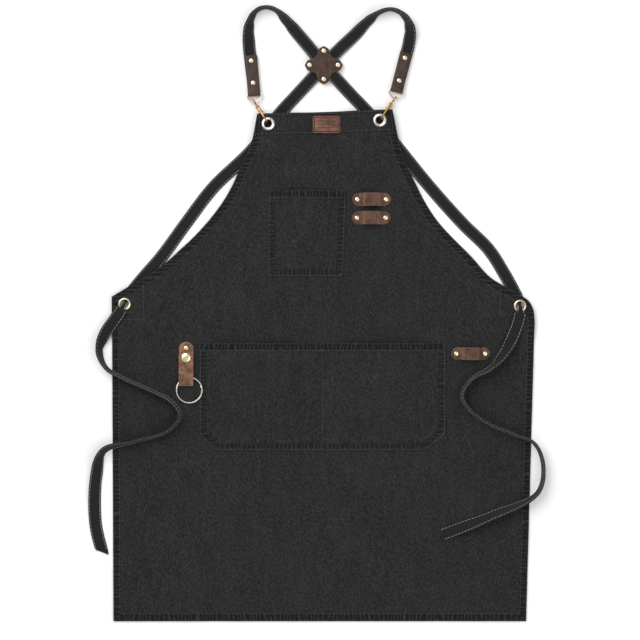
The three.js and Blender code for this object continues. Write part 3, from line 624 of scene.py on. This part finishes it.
def fitted_room(x, y):
    """One where the cloth is free, nothing where a piece is sewn to it or lies on it."""
    room = np.ones_like(x)
    names = ("chest_pocket", "waist_pocket", "leather_label", "upper_pen_loop", "lower_pen_loop")
    for name in names:
        low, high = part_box(name)
        dx = np.maximum(np.maximum(low.x - x, x - high.x), 0)
        dy = np.maximum(np.maximum(low.y - y, y - high.y), 0)
        room = np.minimum(room, smooth((np.hypot(dx, dy) - .004) / .03))
    for route in (LEFT_ROUTE[29:], RIGHT_ROUTE[28:]):
        for a, b in zip(route, route[1:]):
            away = line_reach(x, y, (a[:2], b[:2]))
            room = np.minimum(room, smooth((away - .014) / .03))
    for spot in BIB_GROMMETS + WAIST_GROMMETS:
        room = np.minimum(room, smooth((reach(x, y, spot) - .03) / .03))
    return room


def panel_face(x, y):
    """Height of the panel's upper face, hems aside."""
    folds = hash_wave(x + .3 * y, y, 3, .085) * .0012 + hash_wave(x, y, 5, .03) * .0004
    return settings("cloth").face + lift(x, y) + np.abs(folds) * fitted_room(x, y)


def shell(x, y, z, layers, thickest, marks):
    """A sheet's upper face, with its thickness and its shading marks at each point."""
    piece, order = grid(np.stack([x, y, z], -1))
    group = piece.vertex_groups.new(name="layers")
    thick = np.asarray(layers).ravel() / thickest
    for level in np.unique(np.round(thick, 3)):
        members = order[np.round(thick, 3) == level]
        group.add([int(i) for i in members], float(level), "REPLACE")
    for name, mark in marks.items():
        values = np.empty(len(order))
        values[order] = np.clip(np.asarray(mark).ravel(), 0, 1)
        attribute(piece, name, values)
    return piece


def cut_round(piece, spot, radius):
    """Cuts a round hole for a grommet and draws its edge to a true circle."""
    mesh = bmesh.new()
    mesh.from_mesh(piece.data)
    inside = [f for f in mesh.faces if (f.calc_center_median().xy - spot).length < radius]
    bmesh.ops.delete(mesh, geom=inside, context="FACES")
    for vert in mesh.verts:
        offset = vert.co.xy - spot
        if vert.is_boundary and offset.length < radius + .006:
            vert.co.xy = spot + offset.normalized() * radius
    mesh.to_mesh(piece.data)
    mesh.free()
    piece.data.update()


class Stitches:
    """One object of short thread stitches lying on a surface."""

    def __init__(self):
        self.places = []

    def line(self, points, height, pitch=None):
        points = np.array(points, float)
        pitch = pitch or settings("cloth").stitch
        total = np.linalg.norm(np.diff(points, axis=0), axis=1).sum()
        dense = even(points, max(3, int(total / .002)))
        fine = even(dense, max(2, int(round(total / pitch))) + 1)
        centres = (fine[1:] + fine[:-1]) / 2
        runs = fine[1:] - fine[:-1]
        z = height(centres[:, 0], centres[:, 1])
        ahead = height(fine[1:, 0], fine[1:, 1]) - height(fine[:-1, 0], fine[:-1, 1])
        for centre, run, level, climb in zip(centres, runs, z, ahead):
            place = Vector((*centre, level + .00012))
            self.add(place, Vector((*run, climb)), Vector((0, 0, 1)))

    def add(self, centre, run, up):
        run = run.normalized()
        side = up.cross(run).normalized()
        self.places.append((centre, run, side, run.cross(side)))

    def make(self, name, material, size=(.0022, .00052, .0003), body=BODY):
        deselect()
        bpy.ops.mesh.primitive_cylinder_add(
            vertices=6, radius=.5, depth=1, rotation=(0, math.pi / 2, 0)
        )
        template = bpy.context.object
        bpy.ops.object.transform_apply(location=False, rotation=True, scale=True)
        apply(template, "BEVEL", width=.16, segments=1, limit_method="ANGLE")
        shape = np.array([v.co for v in template.data.vertices]) * np.array(size)
        faces = [list(p.vertices) for p in template.data.polygons]
        bpy.data.objects.remove(template)
        axes = np.array([[run, side, up] for _, run, side, up in self.places])
        centres = np.array([place[0] for place in self.places])
        points = np.einsum("vk,nkc->nvc", shape, axes) + centres[:, None, :]
        step = len(shape)
        every = [[i + step * n for i in face] for n in range(len(centres)) for face in faces]
        mesh = bpy.data.meshes.new(name)
        mesh.from_pydata(points.reshape(-1, 3).tolist(), [], every)
        piece = bpy.data.objects.new(name, mesh)
        bpy.context.scene.collection.objects.link(piece)
        return finish_piece(piece, name, material, body)


class APRON_OT_cloth(bpy.types.Operator):
    """Make the denim panel with its turned hems and grommet holes"""
    bl_idname = "apron.cloth"
    bl_label = "Denim panel"
    bl_options = {"REGISTER", "UNDO"}

    def execute(self, context):
        cloth = settings("cloth")
        left, right = sides()
        insets = [0, .0012, .003, .006, .0088, .0105, .0122, .0145]
        x, y, side = lattice(left, right, insets, 112)
        foot, top = y - SKIRT_FOOT, top_edge(x) - y
        near = np.minimum(side, foot)
        armhole = y > .125
        width = np.where(armhole, ARMHOLE_HEM, cloth.hem)
        z = panel_face(x, y)
        z += np.minimum(hem_relief(side, width), hem_relief(foot, FOOT_HEM) + .00002)
        z += hem_relief(top, .0022) * .5
        band = .00035 * (1 - smooth((top - cloth.band) / .0016))
        z += band - .0003 * np.exp(-((top - cloth.band + .0008) / .0012) ** 2)
        marks = {
            "wear": np.maximum.reduce([
                hem_wear(side, width), hem_wear(foot, FOOT_HEM), hem_wear(top, .0030),
                .7 * np.exp(-((top - cloth.band) / .0026) ** 2),
            ]),
            "upright": (side < foot) & (top > .036),
            "rim": rim(np.minimum(near, top)),
        }
        layers = np.where(near < .0118, .0022, cloth.cloth)
        layers = np.where(top < .04, np.minimum(layers, .0016), layers)
        piece = shell(x, y, z, layers, .0024, marks)
        for spot in BIB_GROMMETS + WAIST_GROMMETS:
            cut_round(piece, spot, EYELET_CUT)
        apply(piece, "SOLIDIFY", thickness=.0024, offset=-1, vertex_group="layers")
        piece.vertex_groups.clear()
        finish_piece(piece, "denim_panel", "denim")
        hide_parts("apron_panel")
        return {"FINISHED"}


def pocket_sides(kind, rows):
    """The pocket's two side edges at the given heights."""
    if kind == "chest":
        left = -.0874 + .0065 * (rows - .141)
        right = .0336 + .039 * (rows - .141)
    else:
        cut = np.clip((-.110 - rows) / .026, 0, 1)
        left = -.197 + .027 * cut
        right = .1976 - .033 * cut
    return np.stack([left, rows], 1), np.stack([right, rows], 1)


POCKETS = {
    "chest": {"foot": .142, "mouth": .280, "bulge": .008, "margin": .0126, "divider": None},
    "waist": {"foot": -.136, "mouth": .036, "bulge": .009, "margin": .020, "divider": .0},
}


def pocket_face(kind):
    facts = POCKETS[kind]

    def height(x, y):
        left, right = [edge[:, 0].reshape(np.shape(y)) for edge in pocket_sides(kind, np.ravel(y))]
        away = np.minimum(x - left, right - x)
        if facts["divider"] is not None:
            away = np.minimum(away, np.abs(x - facts["divider"]))
        rise = smooth((away - facts["margin"]) / .036)
        rise = rise * smooth((y - facts["foot"] - facts["margin"]) / .042)
        folds = hash_wave(x, y + .2 * x, 11, .045) * .0008 + hash_wave(x, y, 12, .018) * .0003
        return .0038 + facts["bulge"] * rise + folds * rise

    return height


class APRON_OT_pockets(bpy.types.Operator):
    """Make the chest pocket and the divided waist pocket"""
    bl_idname = "apron.pockets"
    bl_label = "Pockets"
    bl_options = {"REGISTER", "UNDO"}

    def execute(self, context):
        cloth = settings("cloth")
        stops = np.array([0, .001, .0022, .0034, .006, .0082, .0094, .0106, .013])
        for kind, node, inner in (("chest", "chest_pocket", 44), ("waist", "waist_pocket", 120)):
            facts = POCKETS[kind]
            foot, mouth = facts["foot"], facts["mouth"]
            between = np.arange(foot + .0155, mouth - .0155, .0028)
            rows = np.r_[foot + stops, between, mouth - stops[::-1]]
            left, right = pocket_sides(kind, rows)
            x, y, side = lattice(left, right, stops, inner)
            low, high = y - foot, mouth - y
            if kind == "waist":
                corner = np.minimum(x + .170, .1646 - x) * .70 + (y + .136) * .72
                side = np.minimum(side, np.maximum(corner, 0))
            z = pocket_face(kind)(x, y)
            edge = np.minimum(side, low)
            hem = POCKET_HEM
            relief = hem_relief(edge, .0022) * .6 - .0002 * np.exp(-((edge - .0115) / .002) ** 2)
            z = z + np.minimum(relief, 0) + hem_relief(high, hem)
            upright = (side < low) & (high > hem)
            wear = np.maximum(.75 * hem_wear(edge, .0105), hem_wear(high, hem))
            if kind == "waist":
                line = np.exp(-(x / .0022) ** 2)
                wear = np.maximum(wear, .5 * line)
                upright = upright | ((np.abs(x) < .006) & (low > .012) & (high > hem))
                z = z - .0002 * line
            marks = {"wear": wear, "upright": upright, "rim": rim(np.minimum(edge, high))}
            layers = np.full_like(x, cloth.cloth)
            piece = shell(x, y, z, layers, .0011, marks)
            apply(piece, "SOLIDIFY", thickness=.0011, offset=-1, vertex_group="layers")
            piece.vertex_groups.clear()
            finish_piece(piece, kind + "_pocket_cloth", "denim")
            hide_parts(node)
        return {"FINISHED"}


def side_line(which, inset, low, high):
    """Points along one of the panel's side edges, moved in by the inset."""
    edge = sides()[0 if which == "left" else 1]
    along = np.gradient(edge, axis=0)
    along /= np.linalg.norm(along, axis=1)[:, None]
    turn = 1 if which == "left" else -1
    points = edge + np.stack([along[:, 1], -along[:, 0]], 1) * inset * turn
    keep = (points[:, 1] >= low) & (points[:, 1] <= high)
    return points[keep]


def over_hem(x, y):
    """Height at which the hem's stitches lie."""
    return panel_face(x, y) + .00012


class APRON_OT_seams(bpy.types.Operator):
    """Sew the hems, the bib's band, the corner patches and the pockets"""
    bl_idname = "apron.seams"
    bl_label = "Seam stitches"
    bl_options = {"REGISTER", "UNDO"}

    def execute(self, context):
        cloth = settings("cloth")
        seams = Stitches()
        for hand in HANDS:
            bend = .112 if hand == "left" else .082
            seams.line(side_line(hand, cloth.hem, -.396, bend), over_hem)
            seams.line(side_line(hand, ARMHOLE_HEM, bend + .008, .40), over_hem)
        level = SKIRT_FOOT + FOOT_HEM
        seams.line([(LEFT_FOOT[0] + .010, level), (RIGHT_FOOT[0] - .010, level)], over_hem)
        for depth in (.0024, cloth.band - .0008):
            ends = [(-.0985, top_edge(-.0985) - depth), (.1065, top_edge(.1065) - depth)]
            if depth > .01:
                ends = [(-.1085, top_edge(-.1085) - depth), (.1125, top_edge(.1125) - depth)]
            seams.line(ends, over_hem)
        seams.line([(-.2855, .136), (-.2855, .0735), (-.3265, .0735)], over_hem)
        seams.line([(.2845, .125), (.2845, .0812), (.3265, .0812)], over_hem)
        seams.make("hem_stitches", "seam_thread")

        sewn = Stitches()
        for kind, facts in POCKETS.items():
            face = pocket_face(kind)
            foot, mouth = facts["foot"], facts["mouth"]
            inset = POCKET_SEAM
            rows = np.linspace(foot + inset, mouth - .002, 60)
            left, right = pocket_sides(kind, rows)
            left[:, 0] += inset
            right[:, 0] -= inset
            sewn.line(np.vstack([left[::-1], right]), face)
            hem = mouth - POCKET_HEM
            left, right = pocket_sides(kind, np.array([hem]))
            sewn.line([(left[0, 0] + .003, hem), (right[0, 0] - .003, hem)], face)
            for edge, turn in ((left, 1), (right, -1)):
                start = edge[0, 0] + .003 * turn
                for step in range(7):
                    y = mouth - .0022 - step * .0013
                    bar = [(start, y), (start + .0085 * turn, y)]
                    sewn.line(bar, face, .0042)
        face = pocket_face("waist")
        sewn.line([(0, -.133), (0, .034)], face)
        for step in range(6):
            y = .0325 - step * .0014
            sewn.line([(-.004, y), (.004, y)], face, .004)
        sewn.make("pocket_stitches", "seam_thread")
        return {"FINISHED"}


# ---- straps ----
def strap_frames(route, grommet, step):
    """Centres, widthwise and upward directions along a strap, evenly spaced."""
    rows = np.array(route)
    spans = len(rows) - 1
    at = np.linspace(0, spans, spans * 20 + 1)
    flat = curve_points(rows[:, :2], len(at))
    index = np.minimum(at.astype(int), spans - 1)
    ease = smooth(at - index)
    support = rows[index, 2] * (1 - ease) + rows[index + 1, 2] * ease
    roll = np.radians(rows[index, 3] * (1 - ease) + rows[index + 1, 3] * ease)
    gather = bump(reach(flat[:, 0], flat[:, 1], grommet), GATHER_FLAT, GATHER_END)
    half = settings("strap").thickness / 2 * (1 + .5 * gather)
    z = support + settings("strap").width / 2 * np.abs(np.sin(roll)) + half * np.cos(roll)
    data = np.column_stack([flat, z, roll, gather])
    steps = np.r_[0, np.cumsum(np.linalg.norm(np.diff(data[:, :3], axis=0), axis=1))]
    count = int(steps[-1] / step) + 1
    where = np.linspace(0, steps[-1], count)
    data = np.stack([np.interp(where, steps, data[:, k]) for k in range(5)], 1)
    along = np.gradient(data[:, :3], axis=0)
    along /= np.linalg.norm(along, axis=1)[:, None]
    frames = []
    for row, ahead, run in zip(data, along, where):
        ahead = Vector(ahead)
        across = Vector((ahead.y, -ahead.x, 0)).normalized()
        across = Matrix.Rotation(row[3], 3, ahead) @ across
        up = across.cross(ahead).normalized()
        frames.append((Vector(row[:3]), across, up, ahead, row[4], run))
    return frames


def strap_halves(gather):
    """Half the width and half the thickness of a strap where it is that much gathered."""
    strap = settings("strap")
    return strap.width / 2 * (1 - strap.gather * gather), strap.thickness / 2 * (1 + .5 * gather)


LAID = {}


class APRON_OT_straps(bpy.types.Operator):
    """Lay both cotton straps along their routes, with their edge stitching"""
    bl_idname = "apron.straps"
    bl_label = "Straps"
    bl_options = {"REGISTER", "UNDO"}

    def execute(self, context):
        strap = settings("strap")
        half = strap.width / 2
        routes = {
            "left": (LEFT_ROUTE, WAIST_GROMMETS[1]), "right": (RIGHT_ROUTE, WAIST_GROMMETS[0]),
        }
        outline = [(-1, 0), (-.985, .55), (-.93, .95), (-.78, 1), (-.4, .93), (0, .9)]
        outline += [(-x, y) for x, y in outline[-2::-1]]
        outline += [(x, -y) for x, y in outline[-2:0:-1]]
        for hand, (route, grommet) in routes.items():
            frames = strap_frames(route, grommet, strap.step)
            points, runs, wear = [], [], []
            for n, (centre, across, up, ahead, gather, run) in enumerate(frames):
                wide, thick = strap_halves(gather)
                end = min(n, len(frames) - 1 - n)
                shrink = .9 if end == 0 else 1
                slant = strap.slant * smooth(1 - (frames[-1][5] - run) / .03)
                for x, y in outline:
                    spot = centre + across * (x * wide * shrink) + up * (y * thick * shrink)
                    points.append(spot - ahead * (x * float(slant)))
                    runs.append((run, x * half))
                    wear.append(float(abs(x) > .9))
            count = len(outline)
            faces = [list(range(count))[::-1]]
            for n in range(len(frames) - 1):
                for k in range(count):
                    a, b = n * count + k, n * count + (k + 1) % count
                    faces.append([a, b, b + count, a + count])
            faces.append([len(points) - count + k for k in range(count)])
            mesh = bpy.data.meshes.new(hand + "_strap_webbing")
            mesh.from_pydata([tuple(p) for p in points], [], faces)
            piece = bpy.data.objects.new(mesh.name, mesh)
            bpy.context.scene.collection.objects.link(piece)
            check = bmesh.new()
            check.from_mesh(mesh)
            bmesh.ops.recalc_face_normals(check, faces=check.faces)
            check.to_mesh(mesh)
            check.free()
            layer = mesh.uv_layers.new(name="run")
            order = np.array([loop.vertex_index for loop in mesh.loops])
            layer.data.foreach_set("uv", np.array(runs, np.float32)[order].ravel())
            attribute(piece, "wear", wear)
            finish_piece(piece, mesh.name, "webbing", smooth_angle=50)
            thread = Stitches()
            for n, (centre, across, up, ahead, gather, run) in enumerate(frames[:-1]):
                if n % 2 and gather < .9:
                    continue
                wide, thick = strap_halves(gather)
                for edge in (-.80, .80):
                    for face in (-1, 1):
                        outward = up * face
                        spot = centre + across * (edge * wide) + outward * (thick * .985 + .0001)
                        thread.add(spot, ahead, outward)
            sewn = thread.make(
                hand + "_strap_stitches", "edge_thread", (.0042, .0007, .0004)
            )
            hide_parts(hand + "_strap")
            LAID[hand] = (piece, sewn, [tuple(place[0]) for place in frames], frames[-1][5])
        return {"FINISHED"}


# ---- leather and metal ----
LEATHER_SLOTS = {
    "dark_leather": ("left_strap_tab", "right_strap_tab"),
    "patch_leather": ("cross_patch_front", "cross_patch_back"),
    "loop_leather": ("upper_pen_loop", "lower_pen_loop", "cutter_loop"),
    "tan_leather": ("key_tab", "key_flap"),
    "label_leather": ("leather_label",),
}


METAL_SLOTS = {
    "nickel": ("bib_grommet", "bib_washer", "d_ring", "split_ring"),
    "antique_brass": ("swivel_eye", "hook_body", "hook_gate", "gate_pin"),
    "pale_brass": ("rivet", "snap_", "waist_grommet", "waist_washer"),
}
BODY_OF = {
    node: body for body, nodes in frame["record"]["behaviour"]["bodies"].items() for node in nodes
}


def repaint(node, material):
    slots = frame["nodes"][node].material_slots
    if not slots:
        frame["nodes"][node].data.materials.append(MATERIALS[material])
    for slot in slots:
        slot.material = MATERIALS[material]


def round_corners(piece, radius):
    """Rounds a flat piece's four upright corner edges."""
    mesh = piece.data
    for item in (*mesh.vertices, *mesh.edges, *mesh.polygons):
        item.select = False
    points = np.array([v.co for v in mesh.vertices])
    low, high = points.min(0), points.max(0)
    for edge in mesh.edges:
        a, b = [mesh.vertices[i].co for i in edge.vertices]
        upright = (a - b).xy.length < .0001 < (a - b).length
        corner = all(min(a[k] - low[k], high[k] - a[k]) < .0006 for k in (0, 1))
        edge.select = upright and corner
    bpy.ops.object.mode_set(mode="EDIT")
    bpy.ops.mesh.select_mode(type="EDGE")
    bpy.ops.mesh.bevel(offset=radius, segments=5)
    bpy.ops.object.mode_set(mode="OBJECT")


def refined(node, name, material, swell=0.0, bevel=0.0, segments=2, corner=0.0):
    """A copy of a node's shape with welded points, rounded edges and smooth shading."""
    piece = frame["nodes"][node].copy()
    piece.data = piece.data.copy()
    piece.parent = None
    for key in list(piece.keys()):
        del piece[key]
    piece.matrix_world = Matrix.Identity(4)
    bpy.context.scene.collection.objects.link(piece)
    deselect()
    bpy.context.view_layer.objects.active = piece
    piece.select_set(True)
    bpy.ops.object.mode_set(mode="EDIT")
    bpy.ops.mesh.select_all(action="SELECT")
    bpy.ops.mesh.remove_doubles(threshold=.00001)
    bpy.ops.mesh.dissolve_limited(angle_limit=math.radians(.6))
    if swell:
        bpy.ops.transform.shrink_fatten(value=swell)
    bpy.ops.object.mode_set(mode="OBJECT")
    if corner:
        round_corners(piece, corner)
    if bevel:
        apply(
            piece, "BEVEL", width=bevel, segments=segments, limit_method="ANGLE",
            angle_limit=math.radians(38), harden_normals=False,
        )
    apply(piece, "TRIANGULATE")
    piece.data.update()
    finish_piece(piece, name, material, BODY_OF[node], smooth_angle=45)
    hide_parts(node)
    return piece


class APRON_OT_leather(bpy.types.Operator):
    """Round the edges of the tabs, loops, patch and label and give them their leathers"""
    bl_idname = "apron.leather"
    bl_label = "Leather"
    bl_options = {"REGISTER", "UNDO"}

    def execute(self, context):
        bevel = settings("leather").rounding
        for material, nodes in LEATHER_SLOTS.items():
            for node in nodes:
                corner = .0032 if node == "leather_label" else 0
                name = node + "_leather"
                refined(node, name, material, bevel=bevel, segments=3, corner=corner)
        return {"FINISHED"}


class APRON_OT_metal(bpy.types.Operator):
    """Round the rivets, grommets, hooks and rings and give them their metals"""
    bl_idname = "apron.metal"
    bl_label = "Metal fittings"
    bl_options = {"REGISTER", "UNDO"}

    def execute(self, context):
        metal = settings("metal")
        for node in frame["nodes"]:
            for material, words in METAL_SLOTS.items():
                if any(word in node for word in words):
                    wire = "hook_body" in node
                    refined(
                        node, node + "_metal", material, swell=metal.wire if wire else 0,
                        bevel=metal.rounding,
                    )
                    break
        for node in ("bib_facing", "left_corner_patch", "right_corner_patch"):
            repaint(node, "denim")
        return {"FINISHED"}


class APRON_OT_cords(bpy.types.Operator):
    """Gather the names of the fittings on each strap; the lists are not kept and no length is
    worked out
    """
    bl_idname = "apron.cords"
    bl_label = "Strap lengths"
    bl_options = {"REGISTER", "UNDO"}

    def execute(self, context):
        for hand, (piece, sewn, path, run) in LAID.items():
            fittings = [
                hand + "_" + word for word in (
                    "strap_tab_leather", "tab_rivet_1_metal", "tab_rivet_2_metal", "d_ring_metal",
                    "swivel_eye_metal", "hook_body_metal", "hook_gate_metal", "gate_pin_metal",
                )
            ]
            if hand == "left":
                fittings += ["cross_patch_front_leather", "cross_patch_back_leather"]
                for at in ("upper", "left", "lower", "right"):
                    fittings.append(f"patch_rivet_{at}_metal")
            settings("strap").width
        return {"FINISHED"}


def area_light(name, place, aim, size, power):
    deselect()
    bpy.ops.object.light_add(type="AREA", location=place)
    light = bpy.context.object
    light.name = name
    light.data.shape = "RECTANGLE"
    light.data.size, light.data.size_y = size
    light.data.energy = power
    light.rotation_euler = (Vector(aim) - Vector(place)).to_track_quat("-Z", "Y").to_euler()


class APRON_OT_stage(bpy.types.Operator):
    """Set up the pale table, the soft lights and the camera straight above"""
    bl_idname = "apron.stage"
    bl_label = "Stage"
    bl_options = {"REGISTER", "UNDO"}

    def execute(self, context):
        stage = settings("stage")
        deselect()
        bpy.ops.mesh.primitive_plane_add(size=8, location=(0, 0, -.0002))
        table = bpy.context.object
        table.name = "table"
        bpy.ops.object.transform_apply(location=True, rotation=True, scale=True)
        paint = Shader("table_top", Roughness=.85, Specular_IOR_Level=.1)
        paint.surface.inputs["Base Color"].default_value = (*stage.table, 1)
        table.data.materials.append(paint.material)
        area_light("key_light", (-1.3, 1.5, 2.6), (0, 0, 0), (2.2, 2.2), 62)
        area_light("fill_light", (1.6, -.8, 2.4), (0, 0, 0), (2.6, 2.6), 26)
        world = bpy.data.worlds.new("studio")
        world.use_nodes = True
        world.node_tree.nodes["Background"].inputs["Color"].default_value = (1, 1, 1, 1)
        world.node_tree.nodes["Background"].inputs["Strength"].default_value = .55
        context.scene.world = world
        data = bpy.data.cameras.new("camera")
        data.sensor_width = 36
        data.lens = 36 * stage.height / stage.view
        data.clip_end = 50
        camera = bpy.data.objects.new("camera", data)
        camera.location = (-.0035, .0728, stage.height)
        context.scene.collection.objects.link(camera)
        context.scene.camera = camera
        context.scene.view_settings.view_transform = "Standard"
        return {"FINISHED"}


OPERATORS = (
    APRON_OT_stage, APRON_OT_straps, APRON_OT_cloth, APRON_OT_pockets, APRON_OT_seams,
    APRON_OT_leather, APRON_OT_metal, APRON_OT_cords,
)


class APRON_PT_panel(bpy.types.Panel):
    """The apron's operators and settings"""
    bl_idname = "APRON_PT_panel"
    bl_label = "Work apron"
    bl_space_type = "VIEW_3D"
    bl_region_type = "UI"
    bl_category = "Apron"

    def draw(self, context):
        for operator in OPERATORS:
            self.layout.operator(operator.bl_idname)
        for group in GROUPS:
            box = self.layout.box()
            box.label(text=group.title())
            for name in settings(group).bl_rna.properties.keys():
                if name not in ("rna_type", "name"):
                    box.prop(settings(group), name)


CLASSES = (*GROUPS.values(), *OPERATORS, APRON_PT_panel)


def register():
    for item in CLASSES:
        bpy.utils.register_class(item)
    for name, group in GROUPS.items():
        setattr(bpy.types.Scene, "apron_" + name, bpy.props.PointerProperty(type=group))


def unregister():
    for name in GROUPS:
        delattr(bpy.types.Scene, "apron_" + name)
    for item in reversed(CLASSES):
        bpy.utils.unregister_class(item)


def main():
    register()
    MATERIALS.update(make_materials())
    for operator in OPERATORS:
        group, name = operator.bl_idname.split(".")
        getattr(getattr(bpy.ops, group), name)()


if __name__ == "__main__":
    main()
